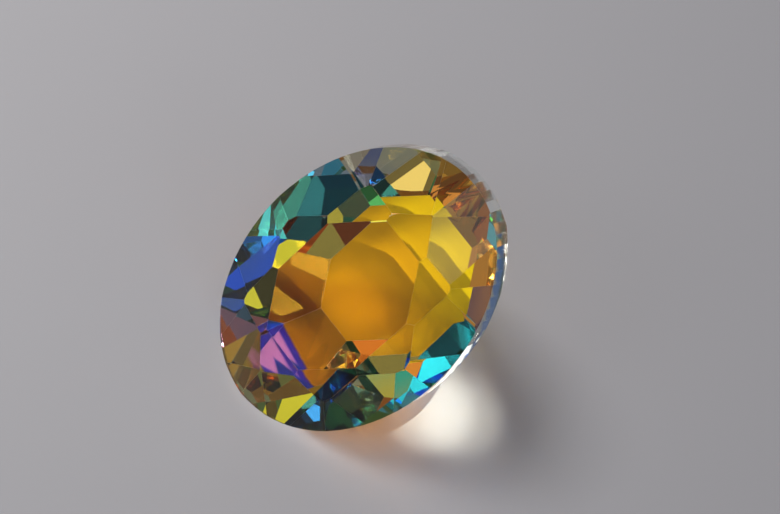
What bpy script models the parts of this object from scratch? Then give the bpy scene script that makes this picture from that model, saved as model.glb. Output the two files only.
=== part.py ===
"""A faceted oval crystal gemstone, cut from clear quartz and coated on its back.

The stone is one solid piece. It is cut as a lapidary cuts it: an oval rough is
ground away one flat at a time, each flat being a plane through a named height
and slope. It is then laid down on the end facet of its deep back, which is how
it comes to rest on a table, with its broad front facet leaning up and forward.
"""
from math import atan2, cos, hypot, pi, radians, sin

import bmesh
import bpy
from mathutils import Matrix, Vector

# ---- driving dimensions, in millimetres ------------------------------------
MM = 0.001                  # metres in a millimetre
LENGTH = 25.0               # long axis of the oval
WIDTH = 18.0                # short axis of the oval
CROWN_HEIGHT = 2.3          # girdle's front edge up to the table
GIRDLE_THICKNESS = 2.1      # straight wall around the waist
BACK_DEPTH = 7.7            # girdle's back edge down to the flat back facet
APEX_DEPTH = 13.5           # where the back's main facets would meet, uncut

# ---- proportions of the cut ------------------------------------------------
TABLE_RATIO = 0.585         # table's corner radius over the girdle's radius
STAR_REACH = 0.95           # where a star facet meets the table's edge
MAIN_FACETS = 8             # main facets around the crown, and around the back
CROWN_STEP = 0.5            # how far the crown's mains stand from the back's, in facets
GIRDLE_FLATS = 72           # flats that make the polished oval wall

# ---- slopes, in degrees, against the main facet beside each one ------------
UPPER_GIRDLE_STEEPER = 3.0
STAR_SHALLOWER = 13.0
LOWER_GIRDLE_STEEPER = 3.0

# ---- cutting ---------------------------------------------------------------
ROUGH_MARGIN = 2.0          # how far the uncut rough stands proud of the stone
CUT_TOLERANCE = 1e-5        # corners closer than this to a cut lie on it
RESTING_FACET = 4           # back main facet, counted from the +X end
FRONT_TURN = radians(90)    # brings the resting end round to the front, -Y

UP = 1
DOWN = -1
HALF_LENGTH = LENGTH / 2
HALF_WIDTH = WIDTH / 2
GIRDLE_TOP = GIRDLE_THICKNESS / 2
TABLE_Z = GIRDLE_TOP + CROWN_HEIGHT
BACK_Z = -GIRDLE_TOP - BACK_DEPTH


# ---- geometry of the oval --------------------------------------------------
def turn_of(index, count):
    """Ellipse parameter of one facet out of a ring of equal steps."""
    return 2 * pi * index / count


def rim_point(turn, radius=1.0):
    """Point of the oval, or of a smaller oval of the same shape."""
    return Vector((HALF_LENGTH * radius * cos(turn), HALF_WIDTH * radius * sin(turn), 0))


def rim_normal(turn):
    """Level unit vector that points straight out of the oval's rim."""
    across = Vector((cos(turn) / HALF_LENGTH, sin(turn) / HALF_WIDTH, 0))
    return across.normalized()


def slope_to(turn, radius, rise):
    """Angle to the level of a facet that climbs by rise from rim to a smaller oval."""
    run = (rim_point(turn) - rim_point(turn, radius)).dot(rim_normal(turn))
    return atan2(rise, run)


def sloped_flat(turn, radius, height, slope, side):
    """A cutting plane through an oval's point, facing outwards and up or down."""
    point = rim_point(turn, radius)
    point.z = height
    normal = rim_normal(turn) * sin(slope) + Vector((0, 0, side * cos(slope)))
    return point, normal


# ---- rings of facets -------------------------------------------------------
def girdle_flats():
    """The straight wall between the front and the back."""
    for index in range(GIRDLE_FLATS):
        turn = turn_of(index + 0.5, GIRDLE_FLATS)
        yield rim_point(turn), rim_normal(turn)


def crown_mains():
    """Eight kite-shaped facets that climb from the girdle to the table's corners."""
    for index in range(MAIN_FACETS):
        turn = turn_of(index + CROWN_STEP, MAIN_FACETS)
        slope = slope_to(turn, TABLE_RATIO, CROWN_HEIGHT)
        yield sloped_flat(turn, 1, GIRDLE_TOP, slope, UP)


def upper_girdle_facets():
    """Sixteen narrow facets, a pair between neighbouring crown mains."""
    for index in range(2 * MAIN_FACETS):
        turn = turn_of(index + 0.5, 2 * MAIN_FACETS)
        slope = slope_to(turn, TABLE_RATIO, CROWN_HEIGHT) + radians(UPPER_GIRDLE_STEEPER)
        yield sloped_flat(turn, 1, GIRDLE_TOP, slope, UP)


def star_facets():
    """Eight shallow triangles along the edges of the table, between the crown mains."""
    reach = TABLE_RATIO * cos(pi / MAIN_FACETS) * STAR_REACH
    for index in range(MAIN_FACETS):
        turn = turn_of(index + CROWN_STEP + 0.5, MAIN_FACETS)
        slope = slope_to(turn, TABLE_RATIO, CROWN_HEIGHT) - radians(STAR_SHALLOWER)
        yield sloped_flat(turn, reach, TABLE_Z, slope, UP)


def back_main(index):
    """One of the eight main facets of the back."""
    turn = turn_of(index, MAIN_FACETS)
    return sloped_flat(turn, 1, -GIRDLE_TOP, slope_to(turn, 0, APEX_DEPTH), DOWN)


def back_mains():
    """Eight steep facets that would meet in a point below the flat back facet."""
    for index in range(MAIN_FACETS):
        yield back_main(index)


def lower_girdle_facets():
    """Sixteen slivers, a little steeper than the back's mains, below the girdle."""
    for index in range(2 * MAIN_FACETS):
        turn = turn_of(index + 0.5, 2 * MAIN_FACETS)
        slope = slope_to(turn, 0, APEX_DEPTH) + radians(LOWER_GIRDLE_STEEPER)
        yield sloped_flat(turn, 1, -GIRDLE_TOP, slope, DOWN)


def table_and_back():
    """The broad level facet of the front, and the smaller one of the back."""
    yield Vector((0, 0, TABLE_Z)), Vector((0, 0, UP))
    yield Vector((0, 0, BACK_Z)), Vector((0, 0, DOWN))


# ---- cutting the stone -----------------------------------------------------
def oval_rough():
    """A block that holds the whole stone, ready to be ground down."""
    rough = bmesh.new()
    bmesh.ops.create_cube(rough, size=1.0)
    sides = Vector((LENGTH, WIDTH, 2 * max(TABLE_Z, -BACK_Z)))
    bmesh.ops.scale(rough, vec=sides + Vector((1, 1, 1)) * ROUGH_MARGIN, verts=rough.verts)
    return rough


def grind_flat(stone, point, normal, material_index):
    """Grind away all that stands in front of a plane, and close the cut with one facet."""
    everything = stone.verts[:] + stone.edges[:] + stone.faces[:]
    cut = bmesh.ops.bisect_plane(stone, geom=everything, dist=CUT_TOLERANCE,
                                 plane_co=point, plane_no=normal, clear_outer=True)
    rim = [part for part in cut["geom_cut"] if isinstance(part, bmesh.types.BMEdge)]
    filled = bmesh.ops.contextual_create(stone, geom=rim)
    for facet in filled["faces"]:
        facet.material_index = material_index


def cut_stone():
    """The whole stone about its own centre, table up, long axis along X."""
    stone = oval_rough()
    clear, coated = 0, 1
    rings = [
        (girdle_flats(), clear),
        (table_and_back(), coated),
        (crown_mains(), clear),
        (upper_girdle_facets(), clear),
        (star_facets(), clear),
        (back_mains(), coated),
        (lower_girdle_facets(), coated),
    ]
    for ring, material_index in rings:
        for point, normal in ring:
            grind_flat(stone, point, normal, material_index)
    for facet in stone.faces:
        if facet.calc_center_median().z > GIRDLE_TOP:
            facet.material_index = clear
    bmesh.ops.recalc_face_normals(stone, faces=stone.faces)
    return stone


def lay_down(stone):
    """Turn the resting facet to face straight down, at the front, and stand it on z = 0."""
    normal = back_main(RESTING_FACET)[1]
    tilt = atan2(hypot(normal.x, normal.y), -normal.z)
    turn = Matrix.Rotation(tilt, 3, "X") @ Matrix.Rotation(FRONT_TURN, 3, "Z")
    bmesh.ops.transform(stone, matrix=turn.to_4x4(), verts=stone.verts)
    low = Vector([min(vert.co[axis] for vert in stone.verts) for axis in range(3)])
    high = Vector([max(vert.co[axis] for vert in stone.verts) for axis in range(3)])
    foot = Vector(((low.x + high.x) / 2, (low.y + high.y) / 2, low.z))
    bmesh.ops.translate(stone, vec=-foot, verts=stone.verts)
    bmesh.ops.scale(stone, vec=Vector((MM, MM, MM)), verts=stone.verts)


# ---- materials and object --------------------------------------------------
def principled(name, color, roughness, metallic, transmission):
    """A Principled material for one finish of the stone."""
    material = bpy.data.materials.new(name)
    material.use_nodes = True
    shader = material.node_tree.nodes["Principled BSDF"]
    shader.inputs["Base Color"].default_value = (*color, 1)
    shader.inputs["Roughness"].default_value = roughness
    shader.inputs["Metallic"].default_value = metallic
    shader.inputs["Transmission Weight"].default_value = transmission
    return material


def make_stone():
    """The finished stone as one named object."""
    stone = cut_stone()
    lay_down(stone)
    mesh = bpy.data.meshes.new("stone")
    mesh.materials.append(principled("clear_quartz", (0.93, 0.96, 0.97), 0.02, 0.0, 1.0))
    mesh.materials.append(principled("rainbow_coating", (0.85, 0.48, 0.06), 0.05, 0.35, 0.5))
    stone.to_mesh(mesh)
    stone.free()
    mesh.update()
    body = bpy.data.objects.new("stone", mesh)
    bpy.context.scene.collection.objects.link(body)
    return body


for old in list(bpy.data.objects):
    bpy.data.objects.remove(old, do_unlink=True)
make_stone()
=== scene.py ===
# %% [markdown]
# # A faceted oval crystal with a rainbow coating
# The object is one cut stone: a flat table in front, a ring of crown facets round it, a
# straight polished girdle, and a deep back whose facets carry a film thinner than a
# wavelength of light. The film lets gold through and throws other colours back, and those
# colours bounce from facet to facet before they come out of the front. The CAD solid
# already has every facet in its place, so this script adds what the solid cannot show:
# the polish, the clear body, the film, and then a floor, lights and a camera.

# %% Load the frame
from math import atan2, cos, pi, radians, sin

import bmesh
import bpy
from mathutils import Matrix, Vector


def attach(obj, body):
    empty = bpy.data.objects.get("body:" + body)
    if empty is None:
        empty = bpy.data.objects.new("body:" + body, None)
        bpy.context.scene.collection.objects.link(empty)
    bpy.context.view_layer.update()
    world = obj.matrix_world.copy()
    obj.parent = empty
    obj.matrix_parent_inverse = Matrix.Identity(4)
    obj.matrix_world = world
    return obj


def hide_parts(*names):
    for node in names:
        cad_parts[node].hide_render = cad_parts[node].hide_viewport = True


MM = 0.001                                 # metres in a millimetre
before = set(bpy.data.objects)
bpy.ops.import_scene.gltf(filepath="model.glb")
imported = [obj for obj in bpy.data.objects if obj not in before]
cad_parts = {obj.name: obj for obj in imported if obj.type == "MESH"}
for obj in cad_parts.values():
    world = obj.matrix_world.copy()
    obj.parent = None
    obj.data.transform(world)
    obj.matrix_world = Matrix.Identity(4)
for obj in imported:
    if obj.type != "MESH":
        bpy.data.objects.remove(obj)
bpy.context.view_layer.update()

# %% [markdown]
# ## The stone's mesh
# The solid comes as loose triangles. A facet is only crisp if it is one flat polygon, so
# corners in the same place are merged first, and the triangles of each plane are then
# dissolved into one polygon. The facets could be cut again here, but the solid's own
# corners are kept, so the polished stone can't drift away from the solid.

# %% Merge the triangles into whole facets
MERGE = 0.0002 * MM                        # corners closer than this are one corner
SAME_PLANE = radians(0.2)


def facets_of(node):
    """The node's triangles as a bmesh of whole flat facets."""
    solid = bmesh.new()
    solid.from_mesh(bpy.data.objects[node].data)
    bmesh.ops.remove_doubles(solid, verts=solid.verts, dist=MERGE)
    bmesh.ops.dissolve_limit(solid, angle_limit=SAME_PLANE, verts=solid.verts, edges=solid.edges)
    bmesh.ops.recalc_face_normals(solid, faces=solid.faces)
    return solid


gem = facets_of("stone")
print("facets:", len(gem.faces))

# %% [markdown]
# ## The stone's own directions
# The table is the largest facet, and its normal says where the front is. The short axis
# lies level, and the long axis runs up the slope of the table. With these three, a facet's
# place can be given the way a cutter gives it: how far it tips back, and how far round
# the oval it lies, counted from the high end.

# %% Front, short axis and long axis
HALF_LENGTH = 12.5 * MM
HALF_WIDTH = 9.0 * MM
TABLE_HEIGHT = 3.35 * MM                   # from the middle of the girdle to the table

table = max(gem.faces, key=lambda facet: facet.calc_area())
FRONT = table.normal.copy()
ACROSS = Vector((-1, 0, 0))
ALONG = ACROSS.cross(FRONT).normalized()
if ALONG.z < 0:
    ALONG.negate()
CENTRE = table.calc_center_median() - FRONT * TABLE_HEIGHT
print("front:", [round(part, 3) for part in FRONT])
print("centre, mm:", [round(part / MM, 2) for part in CENTRE])


def turn_round(direction):
    """Where a direction lies round the oval, from 0 to 1, starting at the high end."""
    across = direction.dot(ACROSS) * HALF_WIDTH
    along = direction.dot(ALONG) * HALF_LENGTH
    return (atan2(across, along) / (2 * pi)) % 1


# %% [markdown]
# ## Which finish each facet has
# The crown and the girdle are bare crystal, and only the back is coated. Each back facet gets a film of
# its own, and with it colours of its own. These colours hold the film's tint and also painted light and
# shade, set facet by facet so that each facet comes out as bright or as dark as it looks. The films are
# listed in the order in which their facets follow round the oval: eight main facets, and sixteen
# slivers next to the girdle.

# %% Sort the facets
SQUARE = 0.05                              # a facet this near to square is the girdle's
LEVEL = 0.999                              # a facet this near to level is the flat back one
MAIN_AREA = 12 * MM * MM                   # a coated facet larger than this is a main one
MAIN_FILMS = ("amber", "straw", "teal", "midnight", "dusk", "leaf", "cyan", "orange")
SLIVER_FILMS = ("amber", "khaki", "cream", "steel", "aqua", "azure", "mauve", "rose",
                "moss", "steel", "ice", "ice", "mauve", "orange", "plum", "plum")
BARE = ("crown", "girdle", "edge")
FINISHES = list(BARE) + ["back"] + sorted(set(MAIN_FILMS + SLIVER_FILMS))


def finish_of(facet):
    """The name of a facet's finish, by which way it faces and its place round the oval."""
    outward = facet.normal.dot(FRONT)
    if outward > SQUARE:
        return "crown"
    if outward > -SQUARE:
        return "girdle"
    if outward < -LEVEL:
        return "back"
    turn = turn_round(facet.normal)
    if facet.calc_area() > MAIN_AREA:
        return MAIN_FILMS[round(turn * len(MAIN_FILMS)) % len(MAIN_FILMS)]
    return SLIVER_FILMS[int(turn * len(SLIVER_FILMS))]


for facet in gem.faces:
    facet.material_index = FINISHES.index(finish_of(facet))
for number, finish in enumerate(FINISHES):
    print(finish, "facets:", sum(facet.material_index == number for facet in gem.faces))

# %% [markdown]
# ## Polished edges
# No cut edge is perfectly sharp. A chamfer a few hundredths of a millimetre wide is left
# where two facets meet, and it draws the facets as thin pale lines. The chamfer is real
# geometry, not a normal trick, because light has to refract through it too.

# %% Break the edges
EDGE_WIDTH = 0.06 * MM

bmesh.ops.bevel(gem, geom=gem.edges[:], offset=EDGE_WIDTH, segments=1, profile=0.5,
                affect="EDGES", clamp_overlap=True, offset_type="WIDTH",
                material=FINISHES.index("edge"))
bmesh.ops.recalc_face_normals(gem, faces=gem.faces)
mesh = bpy.data.meshes.new("polished_stone")
gem.to_mesh(mesh)
gem.free()
stone = bpy.data.objects.new("polished_stone", mesh)
bpy.context.scene.collection.objects.link(stone)
print("polygons after the edges are broken:", len(mesh.polygons))

# %% [markdown]
# ## Shader maths as plain expressions
# A wire is one output socket of a node. Adding, subtracting or multiplying wires adds Math
# nodes, so a formula in the script reads like the formula it is. Every other node comes
# from one method, which takes the node's type, its settings and its inputs.

# %% A wire and a bench
STEP = 60                                  # how sharply one colour gives way to the next


class Wire:
    """One output socket, with arithmetic."""

    def __init__(self, bench, socket):
        self.bench = bench
        self.socket = socket

    def math(self, operation, *values):
        return self.bench.node("ShaderNodeMath", {"operation": operation}, dict(enumerate(values)))

    def __add__(self, other):
        return self.math("ADD", self, other)

    def __sub__(self, other):
        return self.math("SUBTRACT", self, other)

    def __rsub__(self, other):
        return self.math("SUBTRACT", other, self)

    def __mul__(self, other):
        return self.math("MULTIPLY", self, other)

    __radd__ = __add__
    __rmul__ = __mul__

    def past(self, edge, sharpness=STEP):
        """0 below an edge and 1 above it, with a short ramp between."""
        ramp = (self - edge) * sharpness + 0.5
        return self.bench.node("ShaderNodeClamp", {}, {0: ramp})


class Bench:
    """The node tree of one material, or of the world."""

    def __init__(self, owner):
        owner.use_nodes = True
        self.tree = owner.node_tree
        self.tree.nodes.clear()

    def node(self, kind, settings, inputs, output=0):
        made = self.tree.nodes.new(kind)
        for name, value in settings.items():
            setattr(made, name, value)
        for name, value in inputs.items():
            if isinstance(value, Wire):
                self.tree.links.new(value.socket, made.inputs[name])
            else:
                made.inputs[name].default_value = value
        return Wire(self, made.outputs[output])

    def blend(self, share, first, second):
        return self.node("ShaderNodeMixShader", {}, {0: share, 1: first, 2: second})

    def output(self, kind, shader):
        end = self.tree.nodes.new(kind)
        self.tree.links.new(shader.socket, end.inputs[0])

    def surface(self, shader, shadow):
        """Finish a material whose shadow lets light of the given colour through."""
        lamp = self.node("ShaderNodeLightPath", {}, {}, output="Is Shadow Ray")
        veil = self.node("ShaderNodeBsdfTransparent", {}, {"Color": shadow})
        self.output("ShaderNodeOutputMaterial", self.blend(lamp, shader, veil))


def new_material(name):
    material = bpy.data.materials.new(name)
    return material, Bench(material)


# %% [markdown]
# ## Clear crystal
# Quartz bends light with an index of 1.544 and has next to no colour of its own. The crown
# is polished like a mirror, the girdle is tumbled and so a little hazy, and the broken
# edges are finely ground. A renderer gives glass a black shadow, so each of them lets the
# light of lamps through by a plain veil.

# %% Crown, girdle and edges
QUARTZ = 1.544
VEIL = (0.95, 0.95, 0.95, 1)


def clear_crystal(name, color, roughness):
    material, bench = new_material(name)
    body = bench.node("ShaderNodeBsdfPrincipled", {}, {
        "Base Color": color, "Roughness": roughness, "IOR": QUARTZ, "Transmission Weight": 1.0})
    bench.surface(body, VEIL)
    return material


made = {
    "crown": clear_crystal("clear_crown", (1, 1, 1, 1), 0.0),
    "girdle": clear_crystal("polished_girdle", (0.93, 0.96, 1, 1), 0.08),
    "edge": clear_crystal("ground_edge", (1, 1, 1, 1), 0.30),
}
print("bare finishes:", sorted(made))

# %% [markdown]
# ## The rainbow films
# A film lets one band of colour pass and throws the rest back, and the colour it throws
# changes with the slant at which light meets it, as on a soap bubble. So each film has a
# list of thrown colours, each with the slant at which it takes over: 0 is straight on, 1
# is grazing. From inside the stone, everything more slanted than about 40 degrees is
# thrown back whole, and the Fresnel node says how much of the rest is.
#
# Every colour sits on a shader of its own and only the mix between the shaders varies, so that the
# colours stay plain values. They are chosen facet by facet, and are not worked out from a film's
# thickness, which nobody knows here. The facet that the stone rests on gets bands, from ochre to
# violet, pink and olive, towards the low end, as a film whose thickness changes along a facet would
# show.

# %% Colours of the films
GOLD = (1.0, 0.50, 0.002, 1)
YELLOW = (1.0, 0.74, 0.003, 1)
AMBER = (0.95, 0.38, 0.02, 1)
OCHRE = (0.60, 0.34, 0.03, 1)
RUST = (0.78, 0.36, 0.03, 1)
STRAW = (0.85, 0.95, 0.40, 1)
PALE = (0.80, 0.90, 1.0, 1)
NEUTRAL = (0.92, 0.93, 0.88, 1)
COBALT = (0.05, 0.30, 1.0, 1)
VIOLET = (0.15, 0.09, 0.55, 1)
PINK = (0.75, 0.42, 0.68, 1)
INDIGO = (0.05, 0.12, 0.50, 1)
OLIVE = (0.60, 0.50, 0.05, 1)

PASSED = {"back": (GOLD, YELLOW), "cyan": (PALE, PALE), "midnight": (RUST, RUST),
          "dusk": (OCHRE, OCHRE), "straw": (STRAW, STRAW), "moss": (PALE, PALE),
          "mauve": (COBALT, COBALT), "rose": (COBALT, VIOLET)}
# Besides each film's tint, the thrown colours are painted light and shade. The darkest stops, such as
# those in midnight, teal and cyan, are painted shade for paths that see dark surroundings; a film that
# throws light back whole would not come out so dark.
THROWN = {
    "back": ((0, (0.90, 0.65, 0.08, 1)), (0.20, NEUTRAL)),
    "amber": ((0, (1.0, 0.50, 0.06, 1)),),
    "orange": ((0, (1.0, 0.46, 0.08, 1)), (0.76, (0.34, 0.19, 0.19, 1))),
    "straw": ((0, (1.0, 0.60, 0.12, 1)), (0.565, (1.0, 0.70, 0.18, 1)), (0.605, (1.0, 0.95, 0.70, 1)),
              (0.63, (0.30, 0.36, 0.80, 1)), (0.645, (1.0, 0.92, 0.65, 1))),
    "teal": ((0, (0.70, 0.32, 0.12, 1)), (0.42, (0.38, 0.42, 0.20, 1)), (0.465, (0.11, 0.07, 0.055, 1)),
             (0.52, (0.03, 0.18, 0.20, 1)), (0.565, (0.04, 0.25, 0.19, 1))),
    "midnight": ((0, (0.07, 0.05, 0.004, 1)), (0.27, (0.21, 0.17, 0.008, 1)),
                 (0.312, (0.12, 0.28, 0.38, 1)), (0.345, (0.05, 0.08, 0.05, 1)),
                 (0.379, (0.003, 0.055, 0.38, 1)), (0.43, (0.85, 0.85, 0.82, 1))),
    "dusk": ((0, (0.60, 0.60, 0.25, 1)), (0.30, (0.60, 0.45, 0.60, 1))),
    "leaf": ((0, NEUTRAL), (0.29, (1.0, 0.58, 0.12, 1)), (0.38, (0.32, 0.55, 0.30, 1)),
             (0.47, (1.0, 0.75, 0.20, 1)), (0.513, (0.10, 0.75, 1.0, 1)), (0.56, NEUTRAL)),
    "cyan": ((0, (0.60, 0.50, 0.45, 1)), (0.34, (0.14, 0.08, 0.05, 1)),
             (0.42, (0.70, 0.85, 0.90, 1)), (0.52, (0.05, 0.70, 1.0, 1)),
             (0.60, (0.02, 0.24, 0.26, 1)), (0.725, (0.02, 0.50, 0.56, 1))),
    "khaki": ((0, (0.85, 0.85, 0.35, 1)),),
    "cream": ((0, (0.25, 0.50, 1.0, 1)), (0.60, (1.0, 0.95, 0.75, 1))),
    "steel": ((0, (0.02, 0.15, 0.45, 1)), (0.60, (0.60, 0.80, 1.0, 1))),
    "aqua": ((0, (0.10, 0.60, 0.60, 1)),),
    "azure": ((0, (0.03, 0.35, 1.0, 1)),),
    "mauve": ((0, (0.95, 0.60, 0.85, 1)),),
    "rose": ((0, (0.50, 0.70, 0.60, 1)), (0.50, (1.0, 0.65, 0.30, 1))),
    "moss": ((0, (1.0, 0.85, 0.06, 1)),),
    "ice": ((0, (0.20, 0.85, 1.0, 1)),),
    "plum": ((0, (0.34, 0.14, 0.12, 1)), (0.70, (0.20, 0.70, 0.75, 1))),
}
SHINE = 0.04                               # share that a film throws back straight on
ASLANT = 0.062                             # slant past which the second passed colour shows
SOFTNESS = 18                              # how sharply the second passed colour takes over
BAND_SHARPNESS = 4 / MM                    # how sharply one band gives way to the next
BANDED = "dusk"                            # the film on the facet that the stone rests on
BANDS = (                                  # on the resting facet: across, along, start, colour
    (-0.2, -1.0, 1.8 * MM, VIOLET),
    (-0.2, -1.0, 2.4 * MM, PINK),
    (0.4, -1.0, 2.9 * MM, INDIGO),
    (-0.5, -1.0, 3.6 * MM, PINK),
    (0.6, -1.0, 4.2 * MM, VIOLET),
    (-0.2, -1.0, 5.0 * MM, OLIVE),
)
SHADOW = (0.12, 0.11, 0.09, 1)
print("films with more than one thrown colour:", sum(len(stops) > 1 for stops in THROWN.values()))

# %% Build a film


def rainbow_film(name):
    """A coated facet: what it passes and throws, and how the two share the light."""
    material, bench = new_material("film_" + name)

    def passing(color):
        return bench.node("ShaderNodeBsdfRefraction", {}, {
            "Color": color, "Roughness": 0.0, "IOR": QUARTZ})

    def throwing(color):
        return bench.node("ShaderNodeBsdfAnisotropic", {}, {"Color": color, "Roughness": 0.0})

    slant = bench.node("ShaderNodeLayerWeight", {}, {"Blend": 0.5}, output="Facing")
    passed, aslant = PASSED.get(name, (AMBER, AMBER))
    through = bench.blend(slant.past(ASLANT, SOFTNESS), passing(passed), passing(aslant))
    if name == BANDED:
        place = bench.node("ShaderNodeTexCoord", {}, {}, output="Object")
        x = bench.node("ShaderNodeSeparateXYZ", {}, {0: place}, output="X")
        y = bench.node("ShaderNodeSeparateXYZ", {}, {0: place}, output="Y")
        for across, along, start, color in BANDS:
            run = (x * across + y * along).past(start, BAND_SHARPNESS)
            through = bench.blend(run, through, passing(color))
    stops = THROWN[name]
    back = throwing(stops[0][1])
    for start, color in stops[1:]:
        back = bench.blend(slant.past(start), back, throwing(color))
    fresnel = bench.node("ShaderNodeFresnel", {}, {"IOR": QUARTZ})
    share = fresnel * (1 - SHINE) + SHINE
    bench.surface(bench.blend(share, through, back), SHADOW)
    return material


for finish in FINISHES:
    if finish not in made:
        made[finish] = rainbow_film(finish)
    mesh.materials.append(made[finish])
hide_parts("stone")
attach(stone, "root")
print("films:", len(FINISHES) - len(BARE))

# %% [markdown]
# ## Floor and lights
# The floor is plain and pale. A faceted stone shows its surroundings in pieces, so a few
# soft lamps, with darker space between them, make it sparkle, where an evenly bright room
# would leave it flat: a window to one side, a ceiling panel above the viewer, and small
# cards in the few directions in which the back's facets look out through the crown.
#
# The facets also gather light into bright spots on and under the stone's own shadow. A
# renderer hardly finds those paths, so narrow lamps that cast no shadow stand in for them.

# %% Floor
FLOOR_SIZE = 3.0
AIR_GAP = 0.03 * MM                        # keeps the floor from touching the resting facet
PALE_GREY = (0.30, 0.295, 0.315, 1)
FLOOR_ROUGHNESS = 0.6

floor_mesh = bpy.data.meshes.new("floor")
half = FLOOR_SIZE / 2
floor_mesh.from_pydata([(-half, -half, 0), (half, -half, 0), (half, half, 0), (-half, half, 0)],
                       [], [(0, 1, 2, 3)])
floor = bpy.data.objects.new("floor", floor_mesh)
floor.location.z = -AIR_GAP
bpy.context.scene.collection.objects.link(floor)
floor_paint, floor_bench = new_material("pale_floor")
floor_bench.output("ShaderNodeOutputMaterial", floor_bench.node("ShaderNodeBsdfPrincipled", {}, {
    "Base Color": PALE_GREY, "Roughness": FLOOR_ROUGHNESS}))
floor_mesh.materials.append(floor_paint)
print("floor, m:", FLOOR_SIZE)

# %% Lamps
ROOM = 0.20                                # brightness of the room between the lamps
ROOM_COLOR = (0.93, 0.95, 1.0, 1)
GLEAM_HEIGHT = 0.5                         # metres above the floor
STRAIGHT_DOWN = 90                         # elevation of a lamp right overhead


def aimed(name, lamp, azimuth, elevation, distance, target):
    """Hang a lamp in a direction from the target, and turn it to face the target."""
    holder = bpy.data.objects.new(name, lamp)
    bpy.context.scene.collection.objects.link(holder)
    a = radians(azimuth)
    e = radians(elevation)
    way = Vector((cos(a) * cos(e), sin(a) * cos(e), sin(e)))
    holder.location = target + way * distance
    holder.rotation_mode = "QUATERNION"
    holder.rotation_quaternion = (-way).to_track_quat("-Z", "Y")


def softbox(name, azimuth, elevation, distance, size, watts, color):
    """A square soft lamp that faces the stone's middle."""
    lamp = bpy.data.lights.new(name, "AREA")
    lamp.size = size
    lamp.energy = watts
    lamp.color = color
    aimed(name, lamp, azimuth, elevation, distance, CENTRE)


def gleam(name, x, y, width, watts, color):
    """A narrow shadowless lamp that lights one spot of the floor."""
    lamp = bpy.data.lights.new(name, "SPOT")
    lamp.energy = watts
    lamp.color = color
    lamp.shadow_soft_size = 0.0
    lamp.spot_size = 2 * atan2(width / 2, GLEAM_HEIGHT)
    lamp.spot_blend = 1.0
    lamp.cycles.cast_shadow = False
    aimed(name, lamp, 0, STRAIGHT_DOWN, GLEAM_HEIGHT, Vector((x, y, 0)))


softbox("window", 186, 54, 0.24, 0.08, 0.54, (1.0, 0.98, 0.95))
softbox("ceiling", 292, 60, 0.50, 0.36, 0.36, (0.97, 0.98, 1.0))
softbox("right_card", 29, 29, 0.35, 0.10, 0.032, (1.0, 1.0, 1.0))
softbox("side_card", 13, 40, 0.35, 0.065, 0.050, (1.0, 1.0, 1.0))
softbox("low_card", 253, 22, 0.35, 0.05, 0.007, (1.0, 1.0, 1.0))
softbox("top_card", 104, 72, 0.35, 0.07, 0.011, (1.0, 1.0, 1.0))
softbox("near_card", 245, 39, 0.35, 0.11, 0.090, (1.0, 1.0, 1.0))
gleam("gleam_beside", 9.1 * MM, 2.2 * MM, 4 * MM, 12, (1.0, 0.98, 0.78))
gleam("gleam_beyond", 10.6 * MM, 3.8 * MM, 4 * MM, 7, (1.0, 0.98, 0.75))
gleam("gleam_tail", 12.2 * MM, 3.4 * MM, 3 * MM, 2, (1.0, 0.98, 0.85))
gleam("gleam_below", -1.5 * MM, 6.3 * MM, 9 * MM, 9, (1.0, 0.94, 0.70))
gleam("gleam_behind", 0.3 * MM, 10.0 * MM, 6 * MM, 13, (1.0, 0.97, 0.70))
gleam("gleam_under", 0.0 * MM, -3.0 * MM, 7 * MM, 8, (1.0, 0.94, 0.85))
world = bpy.data.worlds.new("soft_room")
bpy.context.scene.world = world
room = Bench(world)
room.output("ShaderNodeOutputWorld", room.node("ShaderNodeBackground", {}, {
    "Color": ROOM_COLOR, "Strength": ROOM}))
print("lamps:", [lamp.name for lamp in bpy.data.lights])

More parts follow.
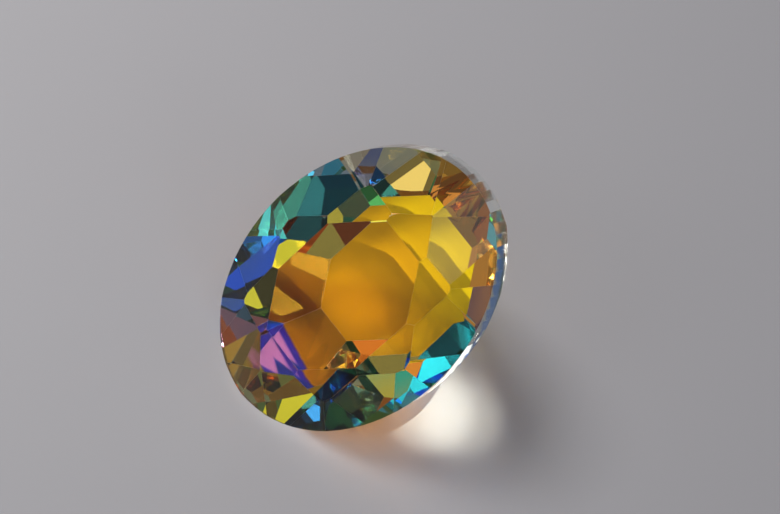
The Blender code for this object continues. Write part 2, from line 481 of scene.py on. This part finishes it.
# %% [markdown]
# ## Camera
# The camera looks down at the stone from the front, turned a little about its own axis, as
# a hand-held camera is. It is placed by where the stone's centre falls in the picture.

# %% Camera
FRAME_WIDTH, FRAME_HEIGHT = 780, 514       # pixels
FOCAL = 2431.0                             # pixels
SENSOR = 36.0                              # millimetres
NEAREST = 5 * MM                           # nothing closer to the lens is drawn
DISTANCE = 178.3 * MM
ELEVATION = radians(64.73)
AZIMUTH = radians(20.4)
ROLL = radians(-33.1)
AIM_X, AIM_Y = 360.6, 288.8                # pixel on which the stone's centre falls
AIM_HEIGHT = 9.93 * MM

level = Matrix.Rotation(AZIMUTH, 3, "Z")
forward = level @ Vector((0, cos(ELEVATION), -sin(ELEVATION)))
upward = level @ Vector((0, sin(ELEVATION), cos(ELEVATION)))
sideways = level @ Vector((1, 0, 0))
right = sideways * cos(ROLL) - upward * sin(ROLL)
top = sideways * sin(ROLL) + upward * cos(ROLL)
ray = forward + right * ((AIM_X - FRAME_WIDTH / 2) / FOCAL) - top * ((AIM_Y - FRAME_HEIGHT / 2) / FOCAL)
lens = bpy.data.cameras.new("camera")
lens.sensor_width = SENSOR
lens.lens = FOCAL / FRAME_WIDTH * SENSOR
lens.clip_start = NEAREST
camera = bpy.data.objects.new("camera", lens)
bpy.context.scene.collection.objects.link(camera)
stand = Matrix((right, top, -forward)).transposed().to_4x4()
stand.translation = Vector((CENTRE.x, CENTRE.y, AIM_HEIGHT)) - ray * DISTANCE
camera.matrix_world = stand
bpy.context.scene.camera = camera
print("camera at, mm:", [round(part / MM, 1) for part in stand.translation])

# %% [markdown]
# ## Light paths
# Light bounces many times inside a stone before it finds a way out. A path that is cut
# short turns black, so the limits are raised well over the usual ones.

# %% Bounces and colour
BOUNCES = 32
FLOOR_BOUNCES = 3

scene = bpy.context.scene
scene.view_settings.view_transform = "Standard"
scene.cycles.max_bounces = BOUNCES
scene.cycles.transmission_bounces = BOUNCES
scene.cycles.glossy_bounces = BOUNCES
scene.cycles.transparent_max_bounces = BOUNCES
scene.cycles.diffuse_bounces = FLOOR_BOUNCES
print("bounces:", scene.cycles.max_bounces)
